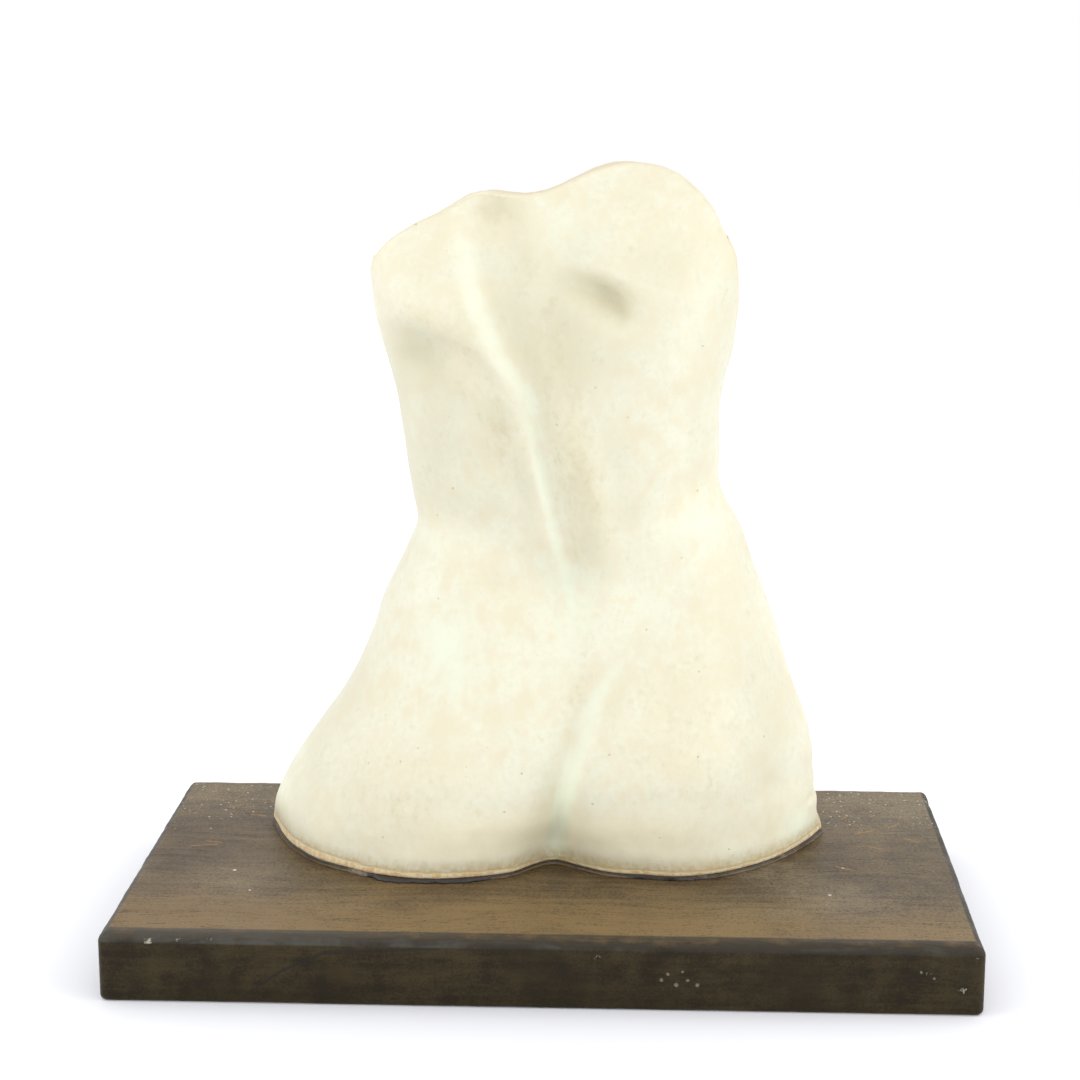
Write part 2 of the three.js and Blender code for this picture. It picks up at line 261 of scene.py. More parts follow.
leftFlank = [
    (0, -42.4), (4, -41.8), (10.5, -38.6), (22.5, -30.3), (30, -26.7), (36.5, -24.5),
    (43, -21.4), (47.5, -19.6), (52, -20.1), (59.5, -21.1), (68, -22.3), (79, -24.7),
]
rightFlank = [
    (0, 40.9), (9, 39.4), (15, 38.8), (26, 35.1), (35.5, 32.2), (42, 29.7), (47, 28),
    (54, 24.4), (59, 24.3), (68, 24.6), (74.5, 25.9), (80, 26.5),
]
outline = {
    "leftSide": through(leftFlank + [(84, -25.2), (88, -25.7), (104, -26)]),
    "rightSide": through(rightFlank + [(90, 26.8), (104, 27.1)]),
    # how far the left edge comes round to the front at the shoulder
    "leftTurn": through([(74, 0), (80, 0.16), (84, 0.42), (87, 0.66)]),
    "rightEdge": through(rightFlank + [(84, 26.4), (87.5, 25.9), (90, torso["rightCorner"])]),
    "top": through([
        (torso["leftCorner"], 87.4), (-22.5, 89.1), (-19, 91.5), (-14.5, 93.8), (-10.5, 95.8),
        (-3, 95.9), (0.5, 96.5), (4.5, 98.1), (8, 99.4), (11.5, 100), (14.5, 99.8),
        (18, 98.5), (20, 97.1), (23, 93.6), (torso["rightCorner"], 90.2),
    ]),
    "middle": through([  # course of the spine and of the cleft below it
        (0, 1.2), (10.5, 2), (24.5, 4.3), (33.5, 3.9), (41.5, 3.1), (52, 0.9), (66, -2.7),
        (79, -7.5), (90, -10.8), (95.5, torso["spineTop"]),
    ]),
    "foot": through([  # line on which the base stands, y over x
        (-42.4, 12.8), (-40, 5.7), (-35.5, -2), (-28.5, -8.1), (-15, -12), (-5.5, -9.1),
        (1.5, -3.6), (4.5, -5.5), (8, -7.7), (14.5, -9.2), (19, -9.6), (27.5, -6.3),
        (36.5, 3.2), (38.5, 6.6), (40.9, 11.6),
    ]),
}
section = {
    "sideBack": through([
        (0, 12.8), (8.5, 14.6), (20, 15.1), (35.5, 13.3), (47.5, 12), (70, 11), (78, 10.2),
        (83, 8.2), (88, 5.4), (94, 3.6), (100, 3)]),
    "depth": through([
        (0, 22.2), (8, 24.5), (19, 23.5), (35.5, 17.8), (44.5, 14.6), (53, 15.6), (70, 17.8),
        (78, 17.7), (83, 15.4), (88, 10.6), (94, 6.6), (100, 2.6),
    ]),
    "squareLeft": through([(0, 2.4), (43.5, 2.6), (57, 2.7), (81.5, 3.5), (89, 3.8)]),
    "squareRight": through([(0, 2.2), (45, 2.3), (63, 2.7), (76.5, 3), (89, 2.8)]),
}
carved = {
    "crease": through([  # the waist folds along it
        (-20, 49.5), (-15.5, 49), (-7.5, 45.3), (-1.5, 40.7), (2.5, 37.6), (5.5, 40.3),
        (9.5, 43.7), (17, 48.4), (21.5, 52), (25, 54.2),
    ]),
    "cleftPower": 1.6,
    "cleftDepth": through([(0, 6.2), (4, 4.6), (10, 3.5), (18.5, 1.9), (24.5, 1.1), (40, 0.1)]),
    "cleftWidth": through([(0, 4), (6, 3.1), (11.5, 2.7), (21, 2.3), (29, 2.7), (40, 3.3)]),
    "spineDepth": through([
        (31, 0), (37.5, 0.4), (42.5, 1.0), (52.5, 1.6), (70.5, 1.5), (80.5, 1.3), (96, 1.2)]),
    "spineWidth": through([(31, 2.8), (42, 1.8), (53, 1.6), (81, 2.9), (96, 3.5)]),
    "spineShift": through([(31, 0.5), (44, 1.1), (64, 1.4), (85, 2.7), (96, 2.8)]),
    "ridgeRight": through([(31, 0), (35.5, 0), (39.5, 0.5), (50, 1.5), (55.5, 1.3), (71.5, 0.4), (96, 0)]),
    "ridgeLeft": through([(31, 0), (35.5, 0), (43.5, 0.5), (56, 0.9), (86, 0.8), (96, 0.5)]),
    "ridgePlaces": {"right": (5.2, 3.1), "left": (-2.8, 2.8)},  # distance from the spine, half width
    "bladeEdge": through([(-26, 79.1), (-22.5, 78.9), (-16.5, 77.5), (-11.5, 75.5), (-9, 73.6), (-4, 67.7)]),
    # the left shoulder blade stands over its lower edge and fades out upwards and to the spine
    "blade": {"rise": 2.3, "softness": 1.45, "reach": 13.0, "fromSpine": 2.4, "spineSoftness": 3.3},
}
# height, middle (x, z), reach along and across, lean in degrees
masses = [
    (4.0, (-16.1, 10.8), (14.2, 16.1), 0),  # left buttock
    (3.4, (18.9, 11.4), (13.7, 16.1), 0),  # right buttock
    (1.6, (17, 78.8), (9.5, 11.4), 0),  # right shoulder blade
]
marks = [
    (-1.7, (-17.6, 74.0), (5.0, 3.2), -16),  # hollow under the left blade
    (-2.7, (8.9, 81.9), (3.5, 2.2), -32),  # hollow under the right blade
    (-1.2, (4.6, 84.1), (4.0, 1.8), -24),
    (0.9, (8.2, 86.0), (6.4, 2.3), -28),  # edge over it
    (-0.55, (0, 71.3), (5.7, 10.4), 0),
    (-1.15, (10.4, 27.3), (11.4, 2.4), 50),  # creases over the buttocks
    (-0.5, (-1.4, 27.7), (8.5, 2.8), 112),
    (-0.5, (-6.6, 40), (2.8, 2.4), 0),  # dimples
    (-0.45, (12.8, 40), (3.3, 2.4), 0),
    (0.55, (-1.4, 93.5), (3.8, 3.8), 0),  # stump of the neck
]


def lump(x, z, at, reach, lean):
    turn = math.radians(lean)
    along = ((x - at[0]) * math.cos(turn) + (z - at[1]) * math.sin(turn)) / reach[0]
    across = ((z - at[1]) * math.cos(turn) - (x - at[0]) * math.sin(turn)) / reach[1]
    return np.exp(-(along ** 2 + across ** 2))


def lumps(x, z, rows):
    return sum(height * lump(x, z, at, reach, lean) for height, at, reach, lean in rows)


def bell(t, halfWidth, power=2.0):
    return np.exp(-np.abs(t / halfWidth) ** power)


def ledge(t, softness):
    return 0.5 + 0.5 * np.tanh(t / softness)


def carving(x, z):
    spine = outline["middle"](z)
    fromSpine = x - spine
    groove = carved["spineDepth"](z) * bell(fromSpine - carved["spineShift"](z), carved["spineWidth"](z))
    rightAt, rightWidth = carved["ridgePlaces"]["right"]
    leftAt, leftWidth = carved["ridgePlaces"]["left"]
    ridges = carved["ridgeRight"](z) * bell(fromSpine - rightAt, rightWidth)
    ridges = ridges + carved["ridgeLeft"](z) * bell(fromSpine - leftAt, leftWidth)
    shape = carved["blade"]
    overEdge = z - carved["bladeEdge"](x)
    blade = shape["rise"] * ledge(overEdge, shape["softness"]) * bell(np.maximum(overEdge, 0), shape["reach"])
    blade = blade * ledge(spine - shape["fromSpine"] - x, shape["spineSoftness"])
    return ridges + blade - groove + lumps(x, z, marks)


def shareOfWidth(x, z):
    centre = (outline["leftSide"](z) + outline["rightSide"](z)) / 2
    return (x - centre) / (outline["rightSide"](z) - centre)


def archOf(share, z):
    power = np.where(share < 0, section["squareLeft"](z), section["squareRight"](z))
    reduced = np.where(share < 0, -share, share / torso["rightShare"])
    return np.maximum(1 - np.maximum(reduced, 0) ** power, 0) ** (1 / power)


def backOf(x, z, carvedShare):
    share = shareOfWidth(x, z)
    overCrease = z - torso["creaseLevel"] - torso["creaseRise"]
    fold = (carved["crease"](x) - torso["creaseLevel"]) * bell(overCrease, torso["creaseReach"])
    fromCleft = x - outline["middle"](z)
    cleft = carved["cleftDepth"](z) * bell(fromCleft, carved["cleftWidth"](z), carved["cleftPower"])
    fade = np.maximum(1 - np.abs(share) ** torso["fadePower"], 0)
    raised = (lumps(x, z, masses) - cleft + carvedShare * carving(x, z)) * fade
    body = section["sideBack"](z) - section["depth"](z - fold) * archOf(share, z) - raised
    baseCentre = (outline["leftSide"](0) + outline["rightSide"](0)) / 2
    foot = outline["foot"](baseCentre + share * (outline["rightSide"](0) - baseCentre))
    atFoot = bell(z, torso["footReach"])
    return body * (1 - atFoot) + foot * atFoot


# unevenness of the torn and pared edges, in millimetres
edges = {
    "topWave": 7.0,
    "topBite": 0.7,
    "sideWave": 16.0,
    "rightBite": 0.3,
    "quietFoot": 10,  # the bites of the right edge fade out below this height, in hundredths
    # notches in the right flank: height in hundredths, half height, depth in millimetres
    "notches": [(11.7, 1.2, 0.5), (7.9, 1.1, 0.5), (3.7, 1.5, 0.8), (15.4, 1.3, 0.25), (64.5, 2.0, 0.4)],
}


def surfacePlaces():
    # columns of places (x, z): two patches blended from their edges, which meet at the spine
    hundredth = torso["height"] / 100
    rows = torso["rows"]
    lift = torso["rimRounding"] / hundredth
    rise = np.linspace(0, 1, rows + 1)

    def bitten(at, wave, bite, seed):
        line = np.stack([at / wave * hundredth, np.full_like(at, seed), np.full_like(at, 0.3)], -1)
        return bite / hundredth * (0.5 + 0.5 * wander(line, 1.0, seed) + 0.2 * wander(line, 0.4, seed + 3))

    def topLine(x):
        return outline["top"](x) - lift - np.maximum(bitten(x, edges["topWave"], edges["topBite"], 5), 0)

    def upright(xOver, topX):
        z = lift + (topLine(np.array([topX * 1.0]))[0] - lift) * rise
        return np.stack([xOver(z), z], -1)

    def leftEdge(z):
        power = section["squareLeft"](z)
        share = (1 - outline["leftTurn"](z) ** power) ** (1 / power)
        centre = (outline["leftSide"](z) + outline["rightSide"](z)) / 2
        return centre - share * (outline["rightSide"](z) - centre)

    def rightEdge(z):
        cut = sum(depth * bell(z - at, half) for at, half, depth in edges["notches"]) / hundredth
        bite = bitten(z, edges["sideWave"], edges["rightBite"], 11) * smooth(z / edges["quietFoot"])
        return outline["rightEdge"](z) - cut - bite

    def patch(side, spine, shares):
        columns = []
        for s in shares:
            column = side + (spine - side) * s
            lifted = topLine(column[-1:, 0])[0] - column[-1, 1]
            column[:, 1] += lifted * rise
            columns.append(column)
        return np.array(columns)

    t = np.linspace(0, 1, torso["columnsPerSide"] + 1)
    shares = t * t * (1 + torso["edgeCrowding"] * (1 - t))
    spine = upright(outline["middle"], torso["spineTop"])
    left = patch(upright(leftEdge, torso["leftCorner"]), spine, shares)
    right = patch(upright(rightEdge, torso["rightCorner"]), spine, shares)[::-1]
    return np.concatenate([left, right[1:]])


# relief of the modelled clay: wave size and height in millimetres
relief = {
    "handling": (15.0, 0.30),
    "pressing": (6.0, 0.13),
    "strokes": ((3.2, 3.2, 17.0), 0.06),
    "inside": (13.0, 0.55),
    "insideFine": (5.0, 0.2),
}
# small marks on the surface: place (x, z) in hundredths, radius and height in millimetres
nicks = [
    ((25.6, 21.7), 1.7, 0.45), ((25.0, 21.3), 1.2, -0.3), ((38.7, 6.5), 1.4, -0.35),
    ((10.0, 80.5), 0.9, -0.5), ((20.5, 84.4), 0.9, -0.4), ((19.5, 83.1), 0.9, -0.4),
    ((23.1, 90.7), 1.0, -0.4), ((24.4, 88.8), 1.0, -0.4), ((-8.0, 94.0), 2.2, -0.5),
]


def shell():
    hundredth = torso["height"] / 100
    places = surfacePlaces()
    x, z = places[..., 0], places[..., 1]
    share = shareOfWidth(x, z)
    outer = np.stack([x, backOf(x, z, 1), z], -1) * hundredth
    inner = np.stack([x, backOf(x, z, torso["innerCarving"]), z], -1) * hundredth
    inner[..., 0] -= share * torso["wall"]
    inner[..., 1] += archOf(share, z) * torso["wall"]

    def outwards(grid):
        return unit(np.cross(np.gradient(grid, axis=0), np.gradient(grid, axis=1)))

    swell = sum(height * wander(outer, size, 20 + k) for k, (size, height) in enumerate(
        [relief["handling"], relief["pressing"], relief["strokes"]]))
    for (atX, atZ), radius, height in nicks:
        away = np.hypot(x - atX, z - atZ) * hundredth
        swell = swell + height * bell(away, radius)
    inside = sum(height * wander(inner, size, 30 + k) for k, (size, height) in enumerate(
        [relief["inside"], relief["insideFine"]]))
    outer = outer + outwards(outer) * swell[..., None]
    inner = inner + outwards(inner) * inside[..., None]
    # the base stays flat on the adhesive and nothing rises over the CAD's top
    outer[:, 0, 2] = inner[:, 0, 2] = torso["rimRounding"]
    return places, outer, inner


def borderOf(grid):
    # base, right side, top, left side of a grid of columns, as one loop
    return np.concatenate([grid[:, 0], grid[-1, 1:], grid[-2::-1, -1], grid[0, -2:0:-1]])


def rimDirections(outerBorder, innerBorder):
    columns, rows = 2 * torso["columnsPerSide"] + 1, torso["rows"]
    along = unit(innerBorder - outerBorder)
    before, after = np.roll(outerBorder, 1, axis=0), np.roll(outerBorder, -1, axis=0)
    out = unit(np.cross(along, after - before))
    for i in (0, columns - 1, columns - 1 + rows, 2 * (columns - 1) + rows):
        one = unit(np.cross(along[i], outerBorder[i] - before[i]))
        other = unit(np.cross(along[i], after[i] - outerBorder[i]))
        out[i] = (one + other) / (1 + max(float(one @ other), 0))
    return out


# how far bare clay reaches from the rim onto the modelled side, in millimetres; below 0
# the glaze runs on over the rim instead
bareReach = {
    "base": through([
        (-43, 1.6), (-36, 1.8), (-24, 1.0), (-8, 0.6), (2, -0.2), (10, 0.3), (30, 0.3), (37, 0.7),
        (41, 1.2)]),
    "left": through([(0, 1.4), (6, -0.6), (20, -1.6), (80, -1.6), (87, -0.4)]),
    "right": through([
        (0, 1.2), (3, -0.2), (20, -0.8), (50, -1.6), (66, -0.6), (70, 0.3), (80, 0.6), (90, 0.4)]),
    "top": through([
        (-24, -1.6), (-20, -1.6), (-14, -0.4), (-9, -0.3), (0, -1.6), (4, -1.4), (16, -0.6), (24.7, 0.2)]),
}


def bareOuter(places, outer):
    # millimetres by which each point lies within the bare clay, below 0 under the glaze
    def lengthAlong(axis):
        steps = np.linalg.norm(np.diff(outer, axis=axis), axis=-1)
        start = np.zeros_like(np.take(steps, [0], axis=axis))
        return np.concatenate([start, np.cumsum(steps, axis=axis)], axis=axis)

    x, z = places[..., 0], places[..., 1]
    fromLeft, fromBase = lengthAlong(0), lengthAlong(1)
    fromRight, fromTop = fromLeft[-1:] - fromLeft, fromBase[:, -1:] - fromBase
    return np.max([
        bareReach["base"](x) - fromBase, bareReach["left"](z) - fromLeft,
        bareReach["right"](z) - fromRight, bareReach["top"](x) - fromTop], axis=0)


def reachAtBorder(places):
    # the same reach along the loop of borderOf
    return np.concatenate([
        bareReach["base"](places[:, 0, 0]), bareReach["right"](places[-1, 1:, 1]),
        bareReach["top"](places[-2::-1, -1, 0]), bareReach["left"](places[0, -2:0:-1, 1])])


# Where the glaze has pooled greenish white, and where it is thin and shows tan. Lines run
# up the back, x over z in hundredths; patches are amount, middle, reach and lean.
glaze = {
    "poolPower": 2.8,
    "poolLine": through([
        (35.8, 3.6), (38.5, 3.2), (47.6, 1.2), (57.8, -0.9), (69.9, -3.7), (73.6, -6.1),
        (77.8, -8.2), (83.1, -10.2), (89.6, -11.5)]),
    "poolWidth": through([(33, 1.4), (40, 1.05), (52, 1.05), (66, 1.25), (74, 1.6), (90, 1.9)]),
    "poolAmount": through([(31, 0), (36, 0.6), (48, 0.72), (64, 0.64), (76, 0.58), (88, 0.5), (94, 0)]),
    "cleftLine": through([(3, 1.4), (10, 2.4), (16.7, 4.2), (26.6, 7.8), (32, 11.6), (36, 14)]),
    "cleftAmount": through([(1, 0.9), (12, 0.9), (22, 0.7), (31, 0.55), (36, 0)]),
    "cleftWidth": 1.7,
    # painted shadow under the edge of the left blade: how far below it, over which x, and how soft
    "bladeShadow": {"amount": 0.3, "below": 1.4, "high": 1.2, "middle": -17, "wide": 6, "power": 4.0},
    "pools": [
        (0.4, (-38, 14), (3, 8), 0), (0.5, (-18, 46.5), (4.5, 3), 20), (0.6, (20, 48.8), (6, 2.4), 20),
        (0.55, (-15, 33), (4, 7), 12), (0.5, (4, 37), (4, 6), 0), (0.2, (24.5, 62), (3, 14), 0),
        (0.4, (-19, 64), (3, 9), 0), (0.4, (16, 36), (4, 6), 30), (0.52, (0, 43), (5, 3), 0),
        (0.4, (1.8, 90.7), (4, 4), 0),
        (0.25, (36, 10), (3, 7), 0), (0.3, (-12, 28), (5, 9), 10),
        (0.6, (36.5, 3.6), (3.6, 2.6), 0), (0.35, (-40.5, 5.5), (2.4, 3), 0),
    ],
    # grey olive in the hollows and over broad parts of the back: partly the glaze's own tone, partly painted
    # shade
    "deeps": [  # grey olive in the hollows
        (0.72, (-17.6, 74.2), (3.8, 2.0), -14), (0.45, (-15.4, 70.8), (4.2, 2.8), -25),
        (0.4, (9.0, 81.9), (3.0, 1.3), -36), (0.52, (5.6, 84.1), (3.4, 0.9), -24),
        (0.7, (9.4, 81.7), (1.9, 0.7), -40), (0.3, (10.6, 79.6), (0.8, 1.2), 0),
        (0.45, (0.6, 82), (6, 8), -30), (0.34, (7.2, 76), (6, 6), 0), (0.42, (-7.0, 80), (3, 9), 15),
        (0.42, (2.6, 72), (3.6, 9), 8), (0.42, (5.2, 54), (2.2, 7.5), 14), (0.25, (8.5, 60), (4, 9), 8),
        (0.5, (-2.9, 57), (1.9, 7.5), 12), (0.25, (10.5, 51.5), (4, 2.5), 0), (0.2, (2, 90), (6, 4), 0),
        (0.4, (-20.5, 70), (3, 7), 0), (0.3, (-38.8, 9), (2, 6), 0), (0.2, (-9.5, 78.5), (2, 4), 15),
        (0.4, (-6.4, 66), (3, 4), 0), (0.32, (-14, 62), (7, 12), 0),
        (0.12, (-8, 54), (4, 8), 0), (0.5, (-6.5, 94.0), (2.4, 2.0), -30), (0.3, (-3.5, 88), (2.0, 6), 8),
        (0.3, (17, 83), (6, 9), 0), (0.42, (25, 80), (3, 12), 0), (0.26, (29, 29), (4, 12), 15),
        (0.4, (-19, 60), (4, 13), 0), (0.18, (27, 45), (4, 8), 15), (0.28, (32, 18), (4.5, 8), 0),
        (0.3, (22, 62), (3, 10), 0), (0.2, (11, 44), (5, 4), 0),
        (0.18, (-28.5, 25), (3.5, 10), -20), (0.32, (-37, 11), (4, 8), 0), (0.16, (9, 25), (3, 8), 0),
    ],
    "thins": [
        (0.9, (5.2, 56), (2.4, 9), 12), (0.7, (1.5, 73), (3.4, 9), 12), (0.7, (-6.5, 62), (2.4, 6), 10),
        (0.8, (-7, 93), (3.5, 3), 0), (0.5, (-10.5, 70), (2.4, 4), 25), (0.5, (20, 22), (10, 12), 0),
        (0.5, (-20, 12), (12, 8), 0), (0.4, (-8, 42), (3, 2), 0), (0.5, (8.6, 82), (5, 2.6), -24),
        (0.3, (-17, 85), (6, 5), 0), (0.6, (5.5, 26), (3.5, 3), 50), (0.3, (14, 92), (8, 6), 0),
        (0.5, (-16, 79), (6, 1.6), -14), (0.5, (-11, 75), (3, 2), -40),
    ],
}


def glazeMasks(places):
    x, z = places[..., 0], places[..., 1]
    pool = glaze["poolAmount"](z) * bell(x - glaze["poolLine"](z), glaze["poolWidth"](z), glaze["poolPower"])
    pool = np.maximum(pool, glaze["cleftAmount"](z) * bell(x - glaze["cleftLine"](z), glaze["cleftWidth"]))
    pool = np.maximum(pool, lumps(x, z, glaze["pools"]))
    thin = lumps(x, z, glaze["thins"]) * (1 - np.clip(pool, 0, 1))
    shadow = glaze["bladeShadow"]
    underEdge = carved["bladeEdge"](x) - z
    shadowed = shadow["amount"] * bell(underEdge - shadow["below"], shadow["high"])
    shadowed = shadowed * bell(x - shadow["middle"], shadow["wide"], shadow["power"])
    # olive glaze tone and painted shade in the hollows, with the painted shadow under the left blade
    deep = (lumps(x, z, glaze["deeps"]) + shadowed) * (1 - np.clip(pool, 0, 1))
    return np.clip(pool, 0, 1), np.clip(thin, 0, 1), np.clip(deep, 0, 1)


def stonewareFinish():
    look = {
        "cream": paint(244, 237, 208, 0.745),
        "lightCream": paint(246, 246, 224, 0.77),
        # olive grey of the hollows, also used as painted shade
        "deep": paint(212, 206, 172, 0.72),
        "pooled": paint(238, 244, 223, 0.83),
        "tan": paint(234, 222, 184, 0.72),
        "ochre": paint(228, 204, 150, 0.74),
        "edgeTan": paint(243, 228, 198, 0.8),
        # near-white creams for painted light at the foot and low in the cleft, where the torso lies in shade
        "paintedLightCream": paint(252, 246, 217, 0.98),
        "pale": paint(246, 251, 226, 0.98),
        "hem": paint(202, 181, 130, 0.8),
        "clay": paint(237, 219, 179, 0.95),
        "burntClay": paint(214, 181, 132, 0.9),
        "insideClay": paint(222, 206, 174, 0.78),
        "speck": paint(140, 118, 88, 0.8),
        "sheen": 0.46,
        # sizes of the mottling, from broad to fine
        "broad": 17.0,
        "patch": 4.6,
        "fleck": 2.1,
        "grain": 0.55,
        "wash": 7.0,
        "speckSpacing": 5.2,
        "fineSpeckSpacing": 2.1,
        # heights over the base between which painted light brightens the glaze towards the foot, and then the
        # darker hem band
        "lightFrom": (27.0, 11.0),
        "lightTo": (2.5, 9.0),
        "hemHeight": (7.0, 1.4),
    }
    finish, shader, place = newFinish("glazedStoneware")
    names = ("pool", "thin", "deep", "bare", "inside")
    pool, thin, deep, bare, inside = (maskOf(place, name) for name in names)
    overBase = place.part("Z") - torso["base"]

    broad = place.cloud(look["broad"], 3.0, 0.55, 1)
    patchy = place.stretched(1.0, 1.0, 0.75).cloud(look["patch"], 4.0, 0.6, 2)
    fleck = place.cloud(look["fleck"], 3.0, 0.6, 3)
    grain = place.cloud(look["grain"], 2.0, 0.6, 4)

    start = (broad * 0.4 + patchy * 0.6).step(0.38, 0.62).blend(look["cream"], look["lightCream"])
    thinness = thin * 0.7 + (patchy - 0.5) * 1.8 + (broad - 0.5) * 0.4 + (fleck - 0.5) * 1.1
    colour = start.towards(look["tan"], thinness.step(-0.05, 0.9) * 0.66)
    colour = colour.towards(look["ochre"], (thinness + (fleck - 0.5) * 1.2).step(0.6, 1.4) * 0.4)
    # painted shade mixed with the olive tone of the hollows
    oliveAndShadeAmount = (deep + (patchy - 0.5) * 0.3) * (deep.step(0.0, 0.2))
    colour = colour.towards(look["deep"], oliveAndShadeAmount.held() * 0.72)

    # painted light towards the foot and in the pooled glaze low in the cleft, against the shade that the
    # plinth and the undercut cast there; a darker olive band just above the base; then bare clay at the rim
    across = place.part("X")
    low = overBase.step(*look["lightFrom"]) * overBase.step(*look["lightTo"])
    low = low * (0.15 + across.step(-60.0, -15.0) * 0.85) * (0.35 + across.step(55.0, 25.0) * 0.65)
    paintedFootLight = (low * 0.95 + pool * overBase.step(60.0, 14.0) * 0.6) * (0.8 + patchy * 0.4) * (1.0 - inside)
    colour = colour.towards(look["paintedLightCream"], paintedFootLight.held())
    poured = (pool + (patchy - 0.5) * 0.4 + (fleck - 0.5) * 0.25).step(0.15, 0.95)
    colour = colour.towards(look["pooled"], poured * 0.75)
    # pooled glaze low in the cleft painted paler still: painted light against the cleft's shade
    colour = colour.towards(look["pale"], poured * overBase.step(45.0, 18.0) * 0.9)
    hem = overBase.step(*look["hemHeight"]) * (0.8 + (fleck - 0.5) * 2.0)
    colour = colour.towards(look["hem"], hem.held() * 0.8)
    colour = colour.towards(look["edgeTan"], maskOf(place, "rim") * (0.3 + (patchy - 0.5)).atLeast(0.0))
    ragged = bare + (fleck - 0.5) * 1.3 + (patchy - 0.5) * 0.9
    clayTone = fleck.step(0.35, 0.7).blend(look["clay"], look["burntClay"])
    clayTone = clayTone.towards(look["edgeTan"], overBase.step(12.0, 40.0) * 0.95)
    breaking = ragged.step(-0.9, 0.0)
    colour = colour.towards(look["ochre"], breaking * (0.45 - overBase.step(12.0, 60.0) * 0.25))
    bareClay = ragged.step(-0.15, 0.35)
    colour = colour.towards(clayTone, bareClay * 0.9)

    # the hollow is clay with a thin wash of the same glaze
    washed = place.stretched(1.0, 1.0, 0.35).cloud(look["wash"], 4.0, 0.55, 6)
    washed = (washed + (fleck - 0.5) * 0.2).step(0.3, 0.75)
    innerTone = (washed * 0.6).blend(look["insideClay"], look["cream"])
    colour = colour.towards(innerTone, (inside + (patchy - 0.5) * 0.5).step(0.4, 0.6))

    away, chance = place.dots(look["speckSpacing"], 1)
    specks = away.step(0.07, 0.03) * chance.step(0.6, 0.68)
    awayFine, chanceFine = place.dots(look["fineSpeckSpacing"], 2)
    fineSpecks = awayFine.step(0.09, 0.04) * chanceFine.step(0.7, 0.75)
    colour = colour.towards(look["speck"], (specks * 0.18 + fineSpecks * 0.25).atMost(1.0))

    roughness = look["sheen"] + (patchy - 0.5) * 0.14 + bareClay * 0.35 + inside * 0.25
    pinholes = specks * chance.step(0.75, 0.8)
    height = fleck * 0.05 + grain * 0.025 + patchy * 0.08 - pinholes * 0.2
    height = height + bareClay * grain * 0.12 - breaking * 0.08
    dress(shader, place, colour, roughness, height, 1.0)
    shader.inputs["IOR"].default_value = 1.5
    return finish


places, outerSurface, innerSurface = shell()
print("torso surfaces worked out")


# the rim between the two surfaces, lengths in millimetres
rim = {
    "wear": 0.22,  # most that it is worn up or down, and the size of the worn places
    "wearSize": 3.5,
    "sink": 0.12,  # its flat part lies this much lower than its rounded edges
    "glazeOver": 4.4,  # how far the glaze comes over it from the front
    "glazeWander": [(1.2, 14.0, 43), (0.6, 4.0, 44)],  # amount, size of the waves and seed
    "wellBare": 9.0,  # mask value of clay far from any glaze
    "thin": 0.3,
    "pooled": 0.5,
    "insideEdge": 0.35,
}


